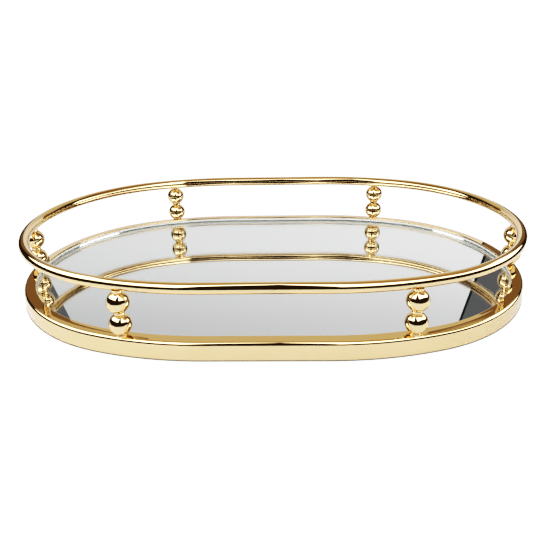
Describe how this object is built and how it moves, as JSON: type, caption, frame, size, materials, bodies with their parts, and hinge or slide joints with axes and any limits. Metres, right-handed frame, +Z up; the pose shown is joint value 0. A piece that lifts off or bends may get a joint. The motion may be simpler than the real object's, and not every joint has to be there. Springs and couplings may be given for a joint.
{
  "type": "dresser vanity tray",
  "caption": "Oval mirrored vanity tray with a polished gold rim and a raised gallery rail carried on posts of stacked balls.",
  "frame": {"origin": "middle of the tray's resting face, on the surface that it stands on", "axes": "+X along the long axis of the oval, towards the right-hand end post; +Y to the back; +Z up"},
  "size_m": [0.3762, 0.242, 0.0498],
  "materials": {
    "polished_gold": "mirror polished, gold plated",
    "float_glass": "clear float glass with a green edge",
    "pale_seal": "soft white foam rubber strip",
    "silvering": "silvered, grey protective paint on the back",
    "fibreboard": "bare fibreboard",
    "felt": "black felt",
    "foam_tape": "white foam tape",
    "zinc_steel": "zinc plated steel"
  },
  "bodies": {
    "root": {"rim_frame": "polished_gold", "backing_board": "fibreboard", "felt_base": "felt", "mirror_mounting_tape": "foam_tape", "mirror_silvering": "silvering", "mirror_glass": "float_glass", "mirror_seal": "pale_seal", "gallery_rail": "polished_gold", "post_studs": "zinc_steel", "stud_washers": "zinc_steel", "stud_nuts": "zinc_steel", "base_collars": "polished_gold", "middle_collars": "polished_gold", "rail_collars": "polished_gold", "back_right_lower_ball": "polished_gold", "back_right_upper_ball": "polished_gold", "back_left_lower_ball": "polished_gold", "back_left_upper_ball": "polished_gold", "front_left_lower_ball": "polished_gold", "front_left_upper_ball": "polished_gold", "front_right_lower_ball": "polished_gold", "front_right_upper_ball": "polished_gold", "left_end_lower_ball": "polished_gold", "left_end_upper_ball": "polished_gold", "right_end_lower_ball": "polished_gold", "right_end_upper_ball": "polished_gold"}
  },
  "joints": []
}
